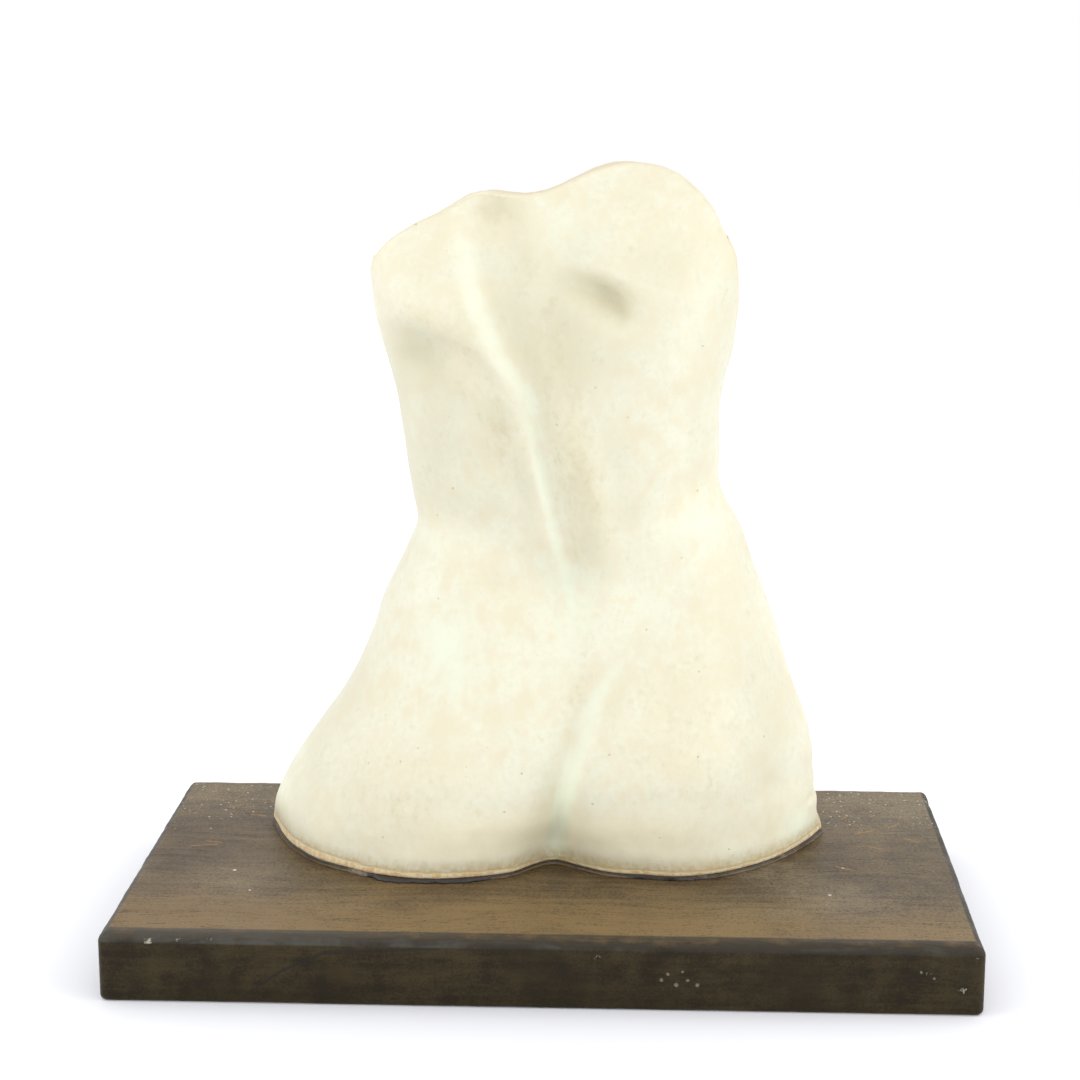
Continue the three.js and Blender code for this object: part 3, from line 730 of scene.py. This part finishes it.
def makeTorso():
    columns, high = outerSurface.shape[:2]
    count = columns * high
    index = np.arange(count).reshape(columns, high)
    a, b = index[:-1, :-1], index[1:, :-1]
    c, d = index[1:, 1:], index[:-1, 1:]
    outerFaces = np.stack([a, b, c, d], -1).reshape(-1, 4)
    innerFaces = outerFaces[:, ::-1] + count
    faces = [tuple(face) for face in np.concatenate([outerFaces, innerFaces]).tolist()]
    pool, thin, deep = glazeMasks(places)
    bare = bareOuter(places, outerSurface)
    points = [outerSurface.reshape(-1, 3), innerSurface.reshape(-1, 3)]
    nothing = np.zeros(count)
    masks = {
        "pool": [pool.ravel(), nothing],
        "thin": [thin.ravel(), nothing],
        "deep": [deep.ravel(), nothing],
        "bare": [bare.ravel(), np.full(count, rim["wellBare"])],
        "inside": [nothing, np.ones(count)],
        "rim": [nothing, nothing],
    }
    outerBorder, innerBorder = borderOf(outerSurface), borderOf(innerSurface)
    out = rimDirections(outerBorder, innerBorder)
    across = unit(innerBorder - outerBorder)
    wide = np.linalg.norm(innerBorder - outerBorder, axis=1)
    reach = reachAtBorder(places)
    poolRim = borderOf(pool)
    glazeOver = rim["glazeOver"]
    for amount, size, seed in rim["glazeWander"]:
        glazeOver = glazeOver + amount * wander(outerBorder, size, seed)
    radius = torso["rimRounding"]
    start = 2 * count
    before = borderOf(index)
    turns = [math.pi / 2 * k / torso["roundingSteps"] for k in range(1, torso["roundingSteps"] + 1)]
    profile = [(radius * (1 - math.cos(turn)), radius * math.sin(turn), 0.0) for turn in turns]
    flat = [(None, radius, k / torso["rimSteps"]) for k in range(1, torso["rimSteps"])]
    back = [(-along, rise, 1.0) for along, rise, _ in reversed(profile)]
    for along, rise, share in profile + flat + back:
        if along is None:
            depth = radius + (wide - 2 * radius) * share
        else:
            depth = along if share == 0.0 else wide + along
        loop = outerBorder + across * np.reshape(depth, (-1, 1)) + out * rise
        onFlat = share not in (0.0, 1.0)
        worn = wander(loop, rim["wearSize"], 41) * rim["wear"] * (rise / radius) - rim["sink"] * onFlat
        # the base and the top edge are kept within the CAD's height
        worn = np.where(np.abs(out[:, 2]) > 0.5, np.minimum(worn, 0), worn)
        onBase = out[:, 2] < -0.5
        worn = np.where(onBase, 0, worn)
        loop = loop + out * worn[:, None]
        after = list(range(start, start + len(loop)))
        faces += bandFaces(list(before), after)
        before, start = after, start + len(loop)
        points.append(loop)
        overRim = np.broadcast_to(depth, len(loop)) + rise
        masks["pool"].append(poolRim * rim["pooled"])
        masks["thin"].append(np.full(len(loop), rim["thin"]))
        masks["deep"].append(np.zeros(len(loop)))
        # glaze wraps over the front of the rim; the back of it is bare again
        fromGlaze = np.maximum(reach - overRim, overRim - glazeOver)
        masks["bare"].append(np.where(onBase, reach + overRim, fromGlaze))
        masks["rim"].append(np.ones(len(loop)))
        masks["inside"].append(np.full(len(loop), 0.0 if share < 1 else rim["insideEdge"]))
    faces += bandFaces(list(before), list(borderOf(index) + count))
    points = np.concatenate(points)
    points[:, 2] = np.clip(points[:, 2], 0, torso["height"]) + torso["base"]
    masks = {name: np.concatenate(values) for name, values in masks.items()}
    return makePiece("torsoShell", points, faces, masks, stonewareFinish(), "torso")


makeTorso()


adhesive = {
    "under": 20.4,  # top of the plinth
    "bead": through([
        (-90, 0.5), (-60, 0.45), (-52, 1.4), (-24, 1.4), (-12, 0.5), (8, 0.35), (24, 0.5), (31, 0.9),
        (44, 0.9), (60, 0.45), (86, 0.7)]),  # share of the squeeze-out, from left to right
    "squeezeOut": 0.8,  # most that it stands out before the wall
    "creep": 0.55,  # how far it climbs round the rounded rim
    "inset": 0.1,
    "waves": [(0.8, 9.0), (0.8, 2.2)],  # amount and size of the waves of the bead
    # section of the bead: share of the squeeze-out, and height, where 1 is the torso's base
    "profile": [(1.25, 0.0), (1.15, 0.35), (0.9, 0.75), (0.35, 1.05), (-0.45, 1.35)],
    "overBase": 0.35,  # height of the section's end over the base
    # dark adhesive, its tone also standing for the shade in the gap under the rim
    "dark": paint(40, 34, 29),
    "grey": paint(126, 114, 96),
    # dust colour, also painted light on the lower, shaded part of the bead
    "dusty": paint(124, 105, 76),
    # where it has gone grey: place, reach and amount
    "greyPlaces": [
        ((-57, -19.5, 20.6), 7.0, 1.0), ((44, -14, 20.6), 11.0, 1.0),
        ((76, 0, 20.6), 8.0, 1.0), ((80, 6, 20.6), 7.0, 1.0)],
    "mottle": 5.5,
    "grain": 0.9,
}


def adhesiveFinish():
    finish, shader, place = newFinish("oldAdhesive")
    mottle = place.cloud(adhesive["mottle"], 3.0, 0.6, 11)
    fine = place.cloud(adhesive["grain"], 3.0, 0.6, 12)
    greying = place.nearEach(adhesive["greyPlaces"]).atMost(1.0)
    grey = (greying * 0.7 + (mottle - 0.5) * 1.6 + (fine - 0.5) * 0.6).step(0.25, 0.7)
    colour = (grey * 0.8).blend(adhesive["dark"], adhesive["grey"])
    # a thick, dark bead stands under each buttock, its dark partly the adhesive's own and partly painted
    # shade of the gap under the rim; elsewhere its lower part is lighter, partly settled dust and partly
    # painted light against its contact shadow
    x = place.part("X")
    thick = x.step(-60.0, -50.0) * x.step(-12.0, -22.0) + x.step(22.0, 30.0) * x.step(56.0, 44.0) * 0.6
    dustAndPaintedLight = place.part("Z").step(21.3, 20.9) * (1.0 - thick) + (mottle - 0.5) * 1.6
    dustAndPaintedLight = dustAndPaintedLight + (fine - 0.5) - thick * 0.5
    colour = colour.towards(adhesive["dusty"], dustAndPaintedLight.held() * 0.85)
    roughness = 0.42 + (fine - 0.5) * 0.3
    dress(shader, place, colour, roughness, fine * 0.25 + mottle * 0.2, 1.0)
    return finish


def makeAdhesive():
    near, far = outerSurface[:, 0].copy(), innerSurface[:, 0].copy()
    inward = unit((far - near) * np.array([1, 1, 0]))
    near[:, 2] = far[:, 2] = 0
    low = adhesive["under"] - torso["base"]

    def swelling(line, seed):
        wave = 0.5
        for k, (amount, size) in enumerate(adhesive["waves"]):
            wave = wave + amount * wander(line, size, seed + k)
        return adhesive["squeezeOut"] * np.clip(wave, 0.0, 1.0) * adhesive["bead"](line[:, 0])

    outside, within = swelling(near, 51), swelling(far, 55)
    lines = []
    # from the plinth round the outside up to the torso, and down again on the inside
    for side, line, amount in ((-1, near, outside), (1, far, within)):
        for out, up in adhesive["profile"][::-side]:
            point = line + inward * (side * (amount * out + adhesive["inset"]))[:, None]
            climb = max(up - 1.0, 0.0) / adhesive["overBase"] * adhesive["creep"]
            point[:, 2] = low - low * min(up, 1.0) + climb * (0.4 + 0.6 * amount)
            lines.append(point)
    loops = np.array(lines).transpose(1, 0, 2)
    count, ring = loops.shape[:2]
    points = loops.reshape(-1, 3)
    index = np.arange(count * ring).reshape(count, ring)
    faces = []
    for i in range(count - 1):
        faces += bandFaces(list(index[i]), list(index[i + 1]))
    faces.append(tuple(index[0]))
    faces.append(tuple(index[-1][::-1]))
    points[:, 2] += torso["base"]
    return makePiece("adhesiveLine", points, faces, {}, adhesiveFinish(), "adhesive_bed")


makeAdhesive()


plinth = {
    "width": 250.0,
    "depth": 138.0,
    "height": 20.4,
    "topEase": 3.0,
    "footEase": 1.5,
    "corner": 2.5,
    "edgeStep": 1.6,
    "easeSteps": 8,
    "wallSteps": 10,
    "cornerSteps": 6,
    "topInsets": (3.6, 5.0, 8.0, 14.0, 24.0, 40.0, 58.0),
    "wear": 0.22,  # most that the worn edges fall back
    # dents: place, radius and depth
    "dents": [
        ((-110.3, -68.6, 18.3), 1.5, 0.5), ((-93.2, -68.4, 19.2), 0.9, 0.35), ((-102, -68.6, 18.8), 0.7, 0.2),
        ((109.1, -69, 12.6), 1.0, 0.25), ((118.7, -69, 7.7), 1.3, 0.35), ((122.2, -69, 17.0), 0.8, 0.25),
        ((36.0, -69, 10.4), 0.8, 0.2), ((38.6, -69, 8.3), 0.9, 0.2), ((41.8, -69, 9.6), 0.7, 0.2),
        ((44.6, -69, 8.2), 0.6, 0.15), ((16.5, -68.8, 15.4), 1.2, 0.2), ((-20.6, -69, 6.9), 0.7, 0.1),
        ((124.2, 60, 19.0), 2.4, 0.6), ((-124.2, 22, 19.2), 1.6, 0.4), ((60, 68.6, 19.0), 1.8, 0.4),
    ],
    # light flecks on the front, too small for the mesh: place and radius
    "flecks": [
        ((34.6, -69, 9.4), 1.1), ((36.4, -69, 11.2), 0.9), ((38.8, -69, 8.0), 1.2), ((40.6, -69, 12.0), 0.7),
        ((42.0, -69, 9.4), 0.9), ((44.8, -69, 8.0), 1.1), ((110.6, -69, 11.2), 0.8),
        ((107.0, -69, 13.0), 0.8),
    ],
    # haze on the top: place, reach and amount
    "hazes": [
        ((-91, -24, 20.4), 34.0, 0.5), ((86, -35, 20.4), 28.0, 0.5), ((-60, -42, 20.4), 24.0, 0.3),
        ((60, -48, 20.4), 26.0, 0.3), ((66, -12, 20.4), 24.0, 0.6),
    ],
    # a dark line of the grain that crosses the front and runs along under its edge: bends, widths
    "ring": [(-82, -69, 3.5), (-72, -69, 10.5), (-60, -69, 16.0), (-28, -69, 17.6)],
    "ringWidths": (0.7, 0.8, 1.0),
    # single crumbs of dust: place and radius
    "crumbs": [
        ((-13.4, -19.3, 20.4), 1.1), ((-94.6, -16.8, 20.4), 1.0), ((84.5, -30.0, 20.4), 0.9),
        ((-87.2, -33.3, 20.4), 0.7), ((90.3, -7.2, 20.4), 0.8),
    ],
    # scratches in the top, from x, y to x, y
    "scratches": [
        (-112, 4.0, -104, 5.6), (-108, 8.5, -103, 7.5), (97, 24, 103, 27), (88.5, -6, 93, -9),
        (112, 20, 116, 17), (108, 30, 111, 33), (-98, 34, -93, 33), (-106, 41, -102, 44),
        (94, 38, 96, 41), (-84, 25, -80, 24), (100, 12, 104, 10),
    ],
    "scratchWidth": 0.42,
}


def woodFinish():
    look = {
        # top tones, painted lighter than the side tones: the stained wood with painted light on the top face
        "dark": paint(70, 57, 41),
        "middle": paint(105, 89, 64),
        "golden": paint(125, 101, 64),
        "haze": paint(150, 138, 115),
        # side tones: the same stain painted darker as shade on the vertical faces
        "shadedSideStain": paint(31, 24, 9),
        "shadedSideLighter": paint(54, 45, 24),
        "pore": paint(58, 46, 30),
        # greys of the worn edges, also a painted reflection of the white surround on the eased front edge
        "worn": paint(50, 46, 39),
        "wearAndReflectionLight": paint(70, 68, 62),
        "chip": paint(176, 170, 152),
        "dust": paint(214, 208, 194),
        "scratch": paint(176, 126, 70),
        "ringTone": paint(30, 27, 26),
        "sheen": 0.40,
        "gloss": 0.16,
        # sizes of the grain and of the soiling
        "bend": 60.0,
        "streak": 2.6,
        "fineStreak": 0.55,
        "blotch": 26.0,
        "smudge": 8.0,
        "fine": 0.8,
        "dustSpacing": 2.3,
        "fineDustSpacing": 1.1,
    }
    finish, shader, place = newFinish("stainedWood")
    x, y, z = place.part("X"), place.part("Y"), place.part("Z")
    bend = place.cloud(look["bend"], 2.0, 0.5, 21)
    grained = place.vector("ADD", place, place.make(
        "ShaderNodeCombineXYZ", {}, {"X": 0.0, "Y": (bend - 0.5) * 22.0, "Z": (bend - 0.5) * 9.0}))
    streak = grained.stretched(0.022, 1.0, 1.0).cloud(look["streak"], 4.0, 0.62, 22)
    fineStreak = grained.stretched(0.04, 1.0, 1.0).cloud(look["fineStreak"], 3.0, 0.6, 23)
    blotch = place.cloud(look["blotch"], 4.0, 0.55, 24)
    smudge = place.cloud(look["smudge"], 4.0, 0.6, 25)
    fine = place.cloud(look["fine"], 3.0, 0.6, 26)

    up = z.step(18.6, 20.1)  # 1 on the top face
    goldward = y.step(-12.0, -66.0) * 0.85 + (streak - 0.5) * 0.7 + (blotch - 0.5) * 0.9 + (fine - 0.5) * 0.5
    # the top face takes light tones and the sides dark ones: painted light and painted shade on one stained
    # wood
    top = (streak * 0.3 + blotch * 0.4 + fine * 0.3).step(0.36, 0.62).blend(look["dark"], look["middle"])
    top = top.towards(look["golden"], goldward.step(0.0, 0.9) * 0.85)
    hazy = place.nearEach(plinth["hazes"]) + y.step(5.0, 60.0) * 0.6 + x.step(60.0, 120.0) * 0.36
    hazy = (hazy * (0.45 + smudge) + (smudge - 0.5) * 0.9 + (fine - 0.5) * 0.9).step(0.05, 1.1)
    top = top.towards(look["haze"], hazy * 0.6)
    top = top.towards(look["pore"], (fineStreak * 0.5 + fine * 0.5).step(0.48, 0.36) * 0.75)
    # the sides: the stained wood in painted shade
    shadedSides = (streak * 0.3 + smudge * 0.4 + fine * 0.3).step(0.4, 0.62)
    shadedSides = shadedSides.blend(look["shadedSideStain"], look["shadedSideLighter"])
    shadedSides = shadedSides.towards(look["shadedSideStain"], blotch.step(0.55, 0.35) * 0.6)
    colour = shadedSides.towards(top, up)
    colour = colour.towards(look["shadedSideStain"], fineStreak.step(0.42, 0.3) * (0.3 - up * 0.12))

    onFront = y.step(-66.0, -68.5)
    bends = zip(plinth["ring"], plinth["ring"][1:], plinth["ringWidths"])
    ring = sum(place.alongLine(start, end, width) for start, end, width in bends).atMost(1.0) * onFront
    colour = colour.towards(look["ringTone"], ring * (0.35 + smudge * 0.6))

    # greyed, worn edges, and a strip of the top along the front: partly wear, partly a painted reflection of
    # the white surround on the eased front edge
    edge = maskOf(place, "edge").atLeast(y.step(-62.4, -64.6) * up * 0.85)
    wearAndReflection = (edge * (0.75 + (smudge - 0.5) * 0.9 + (streak - 0.5) * 0.5)).step(0.15, 0.75)
    wearAndReflectionTone = (x.step(20.0, -110.0) * 0.7 + (smudge + streak - 1.0) * 2.4).held()
    wearAndReflectionTone = wearAndReflectionTone.blend(look["worn"], look["wearAndReflectionLight"])
    colour = colour.towards(wearAndReflectionTone, wearAndReflection * 0.95)

    dent = maskOf(place, "dent")
    flecked = sum(place.near(at, radius) for at, radius in plinth["flecks"])
    colour = colour.towards(look["chip"], (flecked + (fine - 0.5) * 1.2).step(0.25, 0.9) * 0.3 * onFront)
    colour = colour.towards(look["chip"], (dent + (fine - 0.5) * 1.8).step(0.55, 1.0) * 0.75)

    # dust in the back corners, more on the left, and a few bright specks elsewhere
    dusty = up * (y.step(8.0, 45.0) * (x.step(-70.0, -100.0) + x.step(78.0, 95.0)) * 0.9 + 0.1)
    away, chance = place.dots(look["dustSpacing"], 3)
    awayFine, chanceFine = place.dots(look["fineDustSpacing"], 4)
    dust = away.step(0.2, 0.1) * (chance + dusty * 0.9).step(1.22, 1.3)
    dust = dust + awayFine.step(0.24, 0.12) * (chanceFine + dusty * 0.7).step(1.3, 1.36) * 0.7
    for at, radius in plinth["crumbs"]:
        dust = dust + place.near(at, radius).step(0.1, 0.6)
    colour = colour.towards(look["dust"], dust.atMost(1.0) * 0.85)

    high, width = plinth["height"], plinth["scratchWidth"]
    scratches = sum(place.alongLine((ax, ay, high), (bx, by, high), width)
                    for ax, ay, bx, by in plinth["scratches"])
    colour = colour.towards(look["scratch"], scratches.atMost(1.0) * (0.3 + fine) * up)

    roughness = look["sheen"] + (smudge - 0.5) * 0.3 + hazy * 0.12 + dust.atMost(1.0) * 0.3 + wearAndReflection * 0.08
    height = fineStreak * 0.10 + streak * 0.12 + fine * 0.04 + dust.atMost(1.0) * 0.2
    dress(shader, place, colour, roughness, height, 0.8)
    shader.inputs["Specular IOR Level"].default_value = look["gloss"]
    return finish


def outlineLoop(inset, z):
    # rounded rectangle, counterclockwise from above, with the same points at every inset
    halfX, halfY = plinth["width"] / 2 - inset, plinth["depth"] / 2 - inset
    radius = max(plinth["corner"] - inset, plinth["corner"] / 5)
    corners = [(1, -1, -90), (1, 1, 0), (-1, 1, 90), (-1, -1, 180)]

    def onCorner(k, degrees):
        sideX, sideY, start = corners[k % 4]
        angle = math.radians(start + degrees)
        return np.array([
            sideX * (halfX - radius) + radius * math.cos(angle),
            sideY * (halfY - radius) + radius * math.sin(angle), z])

    loop, arc = [], plinth["cornerSteps"]
    for k in range(4):
        loop += [onCorner(k, 90 * step / arc) for step in range(arc + 1)]
        here, goal = loop[-1], onCorner(k + 1, 0)
        length = plinth["depth"] if k % 2 == 0 else plinth["width"]
        steps = int(length / plinth["edgeStep"])
        loop += [here + (goal - here) * (step / steps) for step in range(1, steps)]
    return np.array(loop)


def makePlinth():
    loops, edgeMask = [], []
    turns = [math.pi / 2 * k / plinth["easeSteps"] for k in range(plinth["easeSteps"] + 1)]
    foot, ease, high = plinth["footEase"], plinth["topEase"], plinth["height"]
    for turn in turns:
        loops.append(outlineLoop(foot * (1 - math.sin(turn)), foot * (1 - math.cos(turn))))
        edgeMask.append(0.5 * math.cos(turn))
    for share in np.linspace(0, 1, plinth["wallSteps"] + 1)[1:-1]:
        loops.append(outlineLoop(0.0, foot + (high - ease - foot) * share))
        edgeMask.append(0.0)
    for turn in turns:
        loops.append(outlineLoop(ease * (1 - math.cos(turn)), high - ease * (1 - math.sin(turn))))
        edgeMask.append(math.sin(turn * 2) ** 0.5 if 0 < turn < math.pi / 2 - 0.01 else 0.0)
    sideLoops = len(loops)
    for inset in plinth["topInsets"]:
        loops.append(outlineLoop(inset, high))
        edgeMask.append(0.0)
    loops = np.array(loops)
    around = np.roll(loops, -1, axis=1) - np.roll(loops, 1, axis=1)
    out = np.cross(around, np.gradient(loops, axis=0))
    length = np.linalg.norm(out, axis=-1, keepdims=True)
    out = out / np.maximum(length, 1e-9)
    uneven = np.clip(0.5 + wander(loops, 11.0, 61) + 0.5 * wander(loops, 3.0, 62), 0, 1.4)
    worn = np.array(edgeMask)[:, None] * plinth["wear"] * uneven
    worn[sideLoops:] = 0
    dent = np.zeros(loops.shape[:2])
    for at, radius, depth in plinth["dents"]:
        amount = bell(np.linalg.norm(loops - np.array(at), axis=-1), radius, 3.0)
        worn = worn + depth * amount
        dent = np.maximum(dent, amount)
    loops = loops - out * worn[..., None]
    loops[..., 2] = np.clip(loops[..., 2], 0, high)
    rings, count = loops.shape[:2]
    index = np.arange(rings * count).reshape(rings, count)
    faces = []
    for k in range(rings - 1):
        faces += [(a, d, c, b) for a, b, c, d in bandFaces(list(index[k]), list(index[k + 1]))]
    faces.append(tuple(index[0][::-1]))
    faces.append(tuple(index[-1]))
    masks = {"edge": np.repeat(edgeMask, count), "dent": dent.ravel()}
    return makePiece("plinthBoard", loops.reshape(-1, 3), faces, masks, woodFinish(), "plinth")


makePlinth()


studio = {
    "floorSize": 6.0,  # in metres
    "floorSteps": 8,
    "floor": (0.88, 0.885, 0.925, 1.0),
    "floorGlow": 0.2,  # it keeps the surround white, and fades out near the plinth for a soft shadow
    "shadowPlace": (0, -60, 0),
    "shadowReach": 360.0,
    "world": 1.0,
    # place, aim, size in metres and watts
    "lights": [
        ((0, -1300, 300), (0, 0, 120), 1.4, 4.1),
        ((-1100, -300, 500), (0, 0, 120), 1.2, 4.3),
        ((1100, -300, 500), (0, 0, 120), 1.2, 6.2),
    ],
    "lens": 76.19,
    "azimuth": 2.4668,
    "elevation": 12.352,
    "aim": (-2.4, 0.0, 120.3),
    "distance": 686.2,
}


def makeFloor():
    half = studio["floorSize"] / 2
    steps = studio["floorSteps"]
    side = np.linspace(-half, half, steps + 1)
    points = [(px, py, 0.0) for px in side for py in side]
    faces = []
    for i in range(steps):
        for j in range(steps):
            a = i * (steps + 1) + j
            faces.append((a, a + steps + 1, a + steps + 2, a + 1))
    mesh = bpy.data.meshes.new("floor")
    mesh.from_pydata(points, [], faces)
    finish, shader, place = newFinish("paleFloor")
    shader.inputs["Base Color"].default_value = studio["floor"]
    shader.inputs["Roughness"].default_value = 0.9
    nearPlinth = place.near(studio["shadowPlace"], studio["shadowReach"])
    glow = nearPlinth.blend((1.0, 1.0, 1.0, 1.0), (0.0, 0.0, 0.0, 1.0))
    place.tree.links.new(glow.socket, shader.inputs["Emission Color"])
    shader.inputs["Emission Strength"].default_value = studio["floorGlow"]
    mesh.materials.append(finish)
    floor = bpy.data.objects.new("floor", mesh)
    bpy.context.scene.collection.objects.link(floor)


def aimed(thing, place, aim):
    place, aim = Vector(place) * mm, Vector(aim) * mm
    thing.location = place
    thing.rotation_mode = "QUATERNION"
    thing.rotation_quaternion = (aim - place).to_track_quat("-Z", "Y")
    bpy.context.scene.collection.objects.link(thing)


def makeLights():
    world = bpy.data.worlds.new("studioWhite")
    world.use_nodes = True
    background = world.node_tree.nodes["Background"]
    background.inputs["Color"].default_value = (1.0, 1.0, 1.0, 1.0)
    background.inputs["Strength"].default_value = studio["world"]
    bpy.context.scene.world = world
    for k, (place, aim, size, watts) in enumerate(studio["lights"]):
        lamp = bpy.data.lights.new(f"softLight{k}", "AREA")
        lamp.size = size
        lamp.energy = watts
        aimed(bpy.data.objects.new(f"softLight{k}", lamp), place, aim)


def makeCamera():
    turn, lift = math.radians(studio["azimuth"]), math.radians(studio["elevation"])
    back = Vector((math.sin(turn) * math.cos(lift), -math.cos(turn) * math.cos(lift), math.sin(lift)))
    camera = bpy.data.objects.new("camera", bpy.data.cameras.new("camera"))
    camera.data.lens = studio["lens"]
    camera.data.sensor_width = 36.0
    aim = Vector(studio["aim"])
    aimed(camera, aim + back * studio["distance"], aim)
    bpy.context.scene.camera = camera


makeFloor()
makeLights()
makeCamera()
bpy.context.scene.view_settings.view_transform = "Standard"
print("floor, lights and camera in place")
